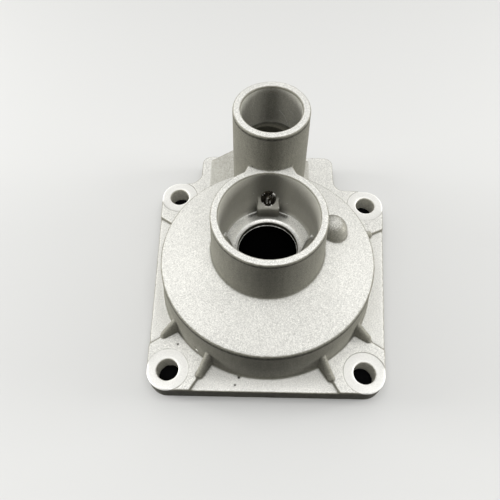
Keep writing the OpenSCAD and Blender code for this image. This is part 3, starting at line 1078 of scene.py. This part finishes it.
    def roughen(self, piece: bpy.types.Object) -> None:
        """Makes rims and edges uneven, and leaves the machined faces as they are.

        Args:
            piece: The rounded skin.
        """
        place = read_vectors(piece.data, "co") / MM
        normal = read_vectors(piece.data, "normal")
        s = self.sizes
        radius = np.hypot(place[:, 0], place[:, 1])
        pipe = np.hypot(place[:, 0] - s.pipe[0], place[:, 1] - s.pipe[1])
        bolt = np.min([np.hypot(place[:, 0] - x, place[:, 1] - y) for x, y in s.bolts], axis=0)
        height = place[:, 2]
        spots = (bolt < s.spot_r + 0.2) & (height > s.spot_z - 0.4)
        bores = (radius < s.collar_bore_r + 0.7) & (height > s.seat_under) & (height < s.collar_z + 1)
        bores |= (pipe < s.pipe_bore_r + 0.7) & (height > s.collar_z)
        machined = (height < 0.4) | spots | (bolt < s.bolt_hole_r + 0.3) | bores
        collar_rim = (radius > s.collar_bore_r + 0.9) & (height > s.collar_z - 0.9)
        collar_rim &= pipe > s.pipe_rim_r + 0.2
        pipe_rim = (pipe > s.pipe_bore_r + 0.9) & (height > s.pipe_z - 0.9)
        edge = (normal[:, 2] > 0.2) & (height > 5) & (height < s.drum_edge_z + 0.5) & (bolt > s.spot_r + 0.9)
        sharp = self.edge_gain * self.bends(piece.data)["bend"] - self.edge_start
        edges = np.where(edge, np.clip(sharp, 0.0, self.edge_share), 0.0)
        rims = np.where(collar_rim | pipe_rim, self.rim_share, 0.0)
        ribs, flanks = self.find_ribs(place, normal, bolt)
        rough_flanks = np.where(flanks, self.flank_share, 0.0)
        write_group(piece, "skin", np.where(machined, 0.0, 1.0))
        write_group(piece, "lips", np.maximum(rough_flanks, np.maximum(rims, edges)))
        write_group(piece, "flanks", np.where(flanks, 1.0, 0.0))
        write_group(piece, "ribs", np.where(ribs, 1.0, 0.0))
        finish_modifier(
            piece, "DISPLACE", direction="NORMAL", mid_level=0.0, strength=self.rib_growth * MM,
            vertex_group="flanks")
        finish_modifier(piece, "SMOOTH", factor=0.5, iterations=self.rounding, vertex_group="ribs")
        for name, size, depth, strength in self.unevenness:
            displace(piece, name + " unevenness", size, depth, strength, vertex_group=name)

    def bends(self, mesh: bpy.types.Mesh) -> dict[str, np.ndarray]:
        """Measures the skin at each point.

        Args:
            mesh: The skin.

        Returns:
            Its bend, above 0 in hollows and below 0 on edges, and its tilt, 1 where it looks up.
        """
        place = read_vectors(mesh, "co") / MM
        normal = read_vectors(mesh, "normal")
        ends = np.empty(len(mesh.edges) * 2, dtype=np.int32)
        mesh.edges.foreach_get("vertices", ends)
        ends = ends.reshape(-1, 2)
        first = np.concatenate([ends[:, 0], ends[:, 1]])
        other = np.concatenate([ends[:, 1], ends[:, 0]])
        way = place[other] - place[first]
        square = np.maximum((way * way).sum(axis=1), self.least_square)
        rise = (way * normal[first]).sum(axis=1) / square
        count = np.maximum(np.bincount(first, minlength=len(place)), 1)
        bend = np.bincount(first, weights=rise, minlength=len(place)) / count
        tilt = normal[:, 2].copy()
        # Each pass takes the mean of a point and its neighbours, so that single facets don't show
        for _ in range(self.passes):
            bend = (bend + np.bincount(first, weights=bend[other], minlength=len(place)) / count) / 2
            tilt = (tilt + np.bincount(first, weights=tilt[other], minlength=len(place)) / count) / 2
        return {"bend": np.clip(bend, *self.bend_limits), "tilt": tilt}

    def mark_bends(self, piece: bpy.types.Object) -> None:
        """Writes the bend and the tilt of the finished skin for its material.

        Args:
            piece: The finished skin.
        """
        for name, values in self.bends(piece.data).items():
            marks = piece.data.attributes.new(name, "FLOAT", "POINT")
            marks.data.foreach_set("value", values.astype(np.float32))

    def build(self) -> list[bpy.types.Object]:
        """Builds the skin and dresses it.

        Returns:
            The pieces of the casting.
        """
        piece = self.copy_solid()
        self.slope_lug(piece)
        self.cut_pits(piece)
        finish_modifier(piece, "REMESH", mode="VOXEL", voxel_size=self.voxel * MM)
        finish_modifier(piece, "SMOOTH", factor=0.5, iterations=self.rounding)
        self.roughen(piece)
        full = 2 * len(piece.data.polygons)
        finish_modifier(piece, "DECIMATE", ratio=self.triangles / full)
        finish_modifier(piece, "SMOOTH", factor=0.5, iterations=1)
        piece.vertex_groups.clear()
        self.mark_bends(piece)
        activate(piece)
        bpy.ops.object.shade_smooth()
        piece.data.materials.clear()
        piece.data.materials.append(self.finish.build(self.sizes))
        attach(piece, "root")
        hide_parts("housing")
        return [piece]


@dataclass(frozen=True)
class BareMetal:
    """Aluminium torn or sheared bright, with a fine broken grain that glints.

    The grain is drawn at 0.3 mm, coarser than the real one, which would vanish in the render.
    """

    colour: str = "F4F3EE"
    roughness: float = 0.35
    metallic: float = 0.45
    grain: float = 0.3
    tone: Ramp = Ramp(0.35, 0.65, 0.6, 1.05)
    # Strength and height of the broken grain
    relief: tuple[float, float] = (0.5, 0.08)

    def build(self) -> bpy.types.Material:
        """Builds the node material.

        Returns:
            The material.
        """
        material = blank_material("sheared bright aluminium")
        tree = material.node_tree
        place = add_node(tree, "ShaderNodeTexCoord").outputs["Object"]
        pattern = {"Vector": place, "Scale": 1 / (self.grain * MM), "Detail": 1.0}
        grain = add_node(tree, "ShaderNodeTexNoise", pattern).outputs["Fac"]
        tone = add_node(tree, "ShaderNodeMapRange", self.tone.inputs(grain)).outputs["Result"]
        toned = add_node(
            tree, "ShaderNodeVectorMath", {0: linear(self.colour)[:3], 3: tone}, operation="SCALE").outputs[0]
        broken = add_node(tree, "ShaderNodeBump", {
            "Strength": self.relief[0], "Distance": self.relief[1] * MM, "Height": grain,
        })
        shader = add_node(tree, "ShaderNodeBsdfPrincipled", {
            "Base Color": toned, "Roughness": self.roughness, "Metallic": self.metallic,
            "Normal": broken.outputs["Normal"],
        })
        add_node(tree, "ShaderNodeOutputMaterial", {"Surface": shader.outputs[0]})
        return material


@dataclass
class Burrs:
    """Thin flash round the inlet eye, a burr round the seat's step, and chips where metal was torn."""

    sizes: Sizes = field(default_factory=Sizes)
    finish: BareMetal = field(default_factory=BareMetal)
    ring_sides: int = 8
    # Size in millimetres, finer steps and height in millimetres of the raggedness
    raggedness: tuple[float, int, float] = (0.4, 2, 0.22)
    # Middle and size of each chip
    chips: tuple[tuple[Place, float], ...] = (
        ((1.45, 14.0, 34.8), 0.3),
        ((1.8, 13.9, 34.4), 0.36),
        ((2.0, 13.8, 34.0), 0.22),
        ((13.0, 2.1, 29.7), 0.62),
        ((-13.0, 2.1, 29.7), 0.62),
        ((-12.8, 2.9, 29.5), 0.4),
        ((-1.75, 13.95, 34.1), 0.16),
        ((-1.3, 14.0, 34.7), 0.16),
        ((-1.62, 12.2, 32.3), 0.18),
        ((-1.3, 11.85, 32.05), 0.18),
        ((0.95, 11.75, 31.95), 0.2),
        ((3.15, 11.0, 31.5), 0.2),
        ((-4.54, 13.38, 35.59), 0.16),
        ((5.82, 12.7, 31.72), 0.16),
        ((-9.65, 10.28, 35.12), 0.13),
        ((-21.2, -26.2, 8.7), 0.3),
        ((-20.9, -26.5, 8.5), 0.22),
    )

    def rings(self) -> list[bpy.types.Object]:
        """Makes the flash at the foot of the inlet eye, and the burr that the tool left on the step.

        Returns:
            The two rings.
        """
        s = self.sizes
        rings = []
        for radius, height, thickness, segments in (
            (s.eye_r - 0.05, s.seat_under + 0.2, 0.15, 180), (s.seat_r + 0.1, s.seat_z + 0.38, 0.16, 240),
        ):
            deselect()
            bpy.ops.mesh.primitive_torus_add(
                major_radius=radius * MM, minor_radius=thickness * MM, major_segments=segments,
                minor_segments=self.ring_sides, location=(0, 0, height * MM))
            rings.append(just_added())
        return rings

    def chip(self, place: Place, radius: float) -> bpy.types.Object:
        """Makes one chip.

        Args:
            place: Its middle in millimetres.
            radius: Its size in millimetres.

        Returns:
            The chip.
        """
        deselect()
        bpy.ops.mesh.primitive_ico_sphere_add(
            subdivisions=2, radius=radius * MM, location=[c * MM for c in place])
        return just_added()

    def build(self) -> list[bpy.types.Object]:
        """Builds the burrs as one ragged piece.

        Returns:
            The piece, in a list.
        """
        piece = join(self.rings() + [self.chip(place, radius) for place, radius in self.chips], "torn_burrs")
        activate(piece)
        bpy.ops.object.transform_apply(location=True, rotation=True, scale=True)
        displace(piece, "torn shape", *self.raggedness)
        activate(piece)
        bpy.ops.object.shade_smooth()
        piece.data.materials.append(self.finish.build())
        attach(piece, "root")
        return [piece]


@dataclass(frozen=True)
class StudioPaper:
    """Matt paper, pale to the camera and in the metal's reflections, that throws little light up."""

    colour: str = "D2D2D0"
    bounce: str = "1E1E1D"

    def build(self) -> bpy.types.Material:
        """Builds the node material.

        Returns:
            The material.
        """
        material = blank_material("matt studio paper")
        tree = material.node_tree
        rear_wall_shades = {0: seen(tree), 6: linear(self.bounce), 7: linear(self.colour)}
        pale = add_node(tree, "ShaderNodeMix", rear_wall_shades, data_type="RGBA")
        shader = add_node(tree, "ShaderNodeBsdfDiffuse", {"Color": pale.outputs[2]})
        add_node(tree, "ShaderNodeOutputMaterial", {"Surface": shader.outputs[0]})
        return material


@dataclass(frozen=True)
class HoleShadeFelt:
    """Black felt, which gives back almost no light; laid as painted shade under the openings."""

    colour: str = "0E0E0F"

    def build(self) -> bpy.types.Material:
        """Builds the node material.

        Returns:
            The material.
        """
        material = blank_material("black felt")
        tree = material.node_tree
        shader = add_node(tree, "ShaderNodeBsdfDiffuse", {"Color": linear(self.colour)})
        add_node(tree, "ShaderNodeOutputMaterial", {"Surface": shader.outputs[0]})
        return material


@dataclass(frozen=True)
class Lamp:
    """Square soft light: its name, place and side in millimetres, and power in watts."""

    name: str
    place: Place
    size: float
    watts: float


@dataclass
class Studio:
    """Floor, lights and camera of the view."""

    paper: StudioPaper = field(default_factory=StudioPaper)
    # Felt laid under the openings as painted shade in the holes
    felt: HoleShadeFelt = field(default_factory=HoleShadeFelt)
    floor_size: float = 4000.0
    # Strength of the world behind the camera, at the sides and back, overhead, and as it is seen
    front_light: float = 0.03
    side_light: float = 0.95
    top_light: float = 0.36
    backdrop: float = 0.62
    # Where a direction's part to the rear turns front light to side light, and its rise to light above
    rearward: tuple[float, float] = (-0.5, 0.3)
    upward: tuple[float, float] = (0.55, 0.95)
    lamps: tuple[Lamp, ...] = (
        Lamp("overhead softbox", (0, -80, 720), 640, 3.45),
        Lamp("left softbox", (-480, 40, 95), 180, 2.2),
        Lamp("right softbox", (480, 40, 95), 180, 1.95),
    )
    lit: Place = (0, 0, 20)
    lens: float = 36.69
    sensor: float = 36.0
    nearest: float = 5.0
    camera_at: Place = (-3.082, -79.127, 158.769)
    camera_turns: Place = (0.50, -30.577, -1.65)
    # Middle and radius of the felt discs, which lie a hair above the floor and each other
    discs: tuple[tuple[float, float, float], ...] = (
        (0, 0, 33), (0.25, 26.2, 12), (-30, -32, 4.6), (30, -32, 4.6), (35.9, 30.3, 4.6), (-32.1, 33, 4.6),
    )
    disc_z: float = 0.02
    disc_step: float = 0.01

    def add_floor(self) -> None:
        """Adds the plain pale floor."""
        deselect()
        bpy.ops.mesh.primitive_plane_add(size=self.floor_size * MM, location=(0, 0, 0))
        floor = just_added()
        floor.name = "studio_floor"
        floor.data.materials.append(self.paper.build())

    def add_hole_shade_felt(self) -> None:
        """Lays dark felt under the housing's openings, which shows through them alone as painted shade."""
        discs = []
        for number, (x, y, radius) in enumerate(self.discs):
            height = self.disc_z + self.disc_step * number
            deselect()
            bpy.ops.mesh.primitive_circle_add(
                vertices=64, radius=radius * MM, fill_type="NGON", location=(x * MM, y * MM, height * MM))
            discs.append(just_added())
        pads = join(discs, "hole_shade_felt")
        pads.data.materials.append(self.felt.build())

    def add_world(self) -> None:
        """Adds soft light from the sides, the back and above, and little from the front."""
        world = bpy.data.worlds.new("studio")
        bpy.context.scene.world = world
        world.use_nodes = True
        tree = world.node_tree
        tree.nodes.clear()
        smooth = {"interpolation_type": "SMOOTHSTEP"}
        way = add_node(tree, "ShaderNodeTexCoord").outputs["Generated"]
        height = add_node(tree, "ShaderNodeSeparateXYZ", {0: way}).outputs["Z"]
        flat = add_node(tree, "ShaderNodeVectorMath", {0: way, 1: (1, 1, 0)}, operation="MULTIPLY")
        level = add_node(tree, "ShaderNodeVectorMath", {0: flat.outputs[0]}, operation="NORMALIZE")
        back = add_node(tree, "ShaderNodeSeparateXYZ", {0: level.outputs[0]}).outputs["Y"]
        behind = Ramp(*self.rearward, self.front_light, self.side_light).inputs(back)
        around = add_node(tree, "ShaderNodeMapRange", behind, **smooth).outputs["Result"]
        above = Ramp(*self.upward).inputs(height)
        overhead = add_node(tree, "ShaderNodeMapRange", above, **smooth).outputs["Result"]
        light = add_node(tree, "ShaderNodeMix", {0: overhead, 2: around, 3: self.top_light}).outputs[0]
        strength = add_node(tree, "ShaderNodeMix", {0: seen(tree), 2: light, 3: self.backdrop}).outputs[0]
        shader = add_node(tree, "ShaderNodeBackground", {"Color": (1, 1, 1, 1), "Strength": strength})
        add_node(tree, "ShaderNodeOutputWorld", {"Surface": shader.outputs[0]})

    def add_lamp(self, lamp: Lamp) -> None:
        """Adds a square soft light that points at the housing.

        Args:
            lamp: The light.
        """
        data = bpy.data.lights.new(lamp.name, "AREA")
        data.shape = "SQUARE"
        data.size = lamp.size * MM
        data.energy = lamp.watts
        light = bpy.data.objects.new(lamp.name, data)
        bpy.context.scene.collection.objects.link(light)
        aim = (Vector(self.lit) - Vector(lamp.place)) * MM
        turn = aim.to_track_quat("-Z", "Y").to_matrix().to_4x4()
        light.matrix_world = Matrix.Translation(Vector(lamp.place) * MM) @ turn

    def add_camera(self) -> None:
        """Adds the camera at the photograph's angle."""
        data = bpy.data.cameras.new("camera")
        data.lens = self.lens
        data.sensor_width = self.sensor
        data.clip_start = self.nearest * MM
        camera = bpy.data.objects.new("camera", data)
        bpy.context.scene.collection.objects.link(camera)
        yaw, pitch, roll = [math.radians(turn) for turn in self.camera_turns]
        turn = Matrix.Rotation(yaw, 3, "Z") @ Matrix.Rotation(pitch, 3, "X") @ Matrix.Rotation(roll, 3, "Z")
        camera.matrix_world = Matrix.Translation(Vector(self.camera_at) * MM) @ turn.transposed().to_4x4()
        bpy.context.scene.camera = camera

    def build(self) -> None:
        """Builds the studio."""
        self.add_floor()
        self.add_hole_shade_felt()
        self.add_world()
        for lamp in self.lamps:
            self.add_lamp(lamp)
        self.add_camera()
        bpy.context.scene.view_settings.view_transform = "Standard"


def main() -> None:
    """Builds the housing's skin and the studio, in that order."""
    logging.basicConfig(level=logging.INFO, format="%(name)s %(message)s")
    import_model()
    pieces = Casting().build() + Burrs().build()
    for piece in pieces:
        LOG.info("%s: %d faces", piece.name, len(piece.data.polygons))
    Studio().build()


if __name__ == "__main__":
    main()
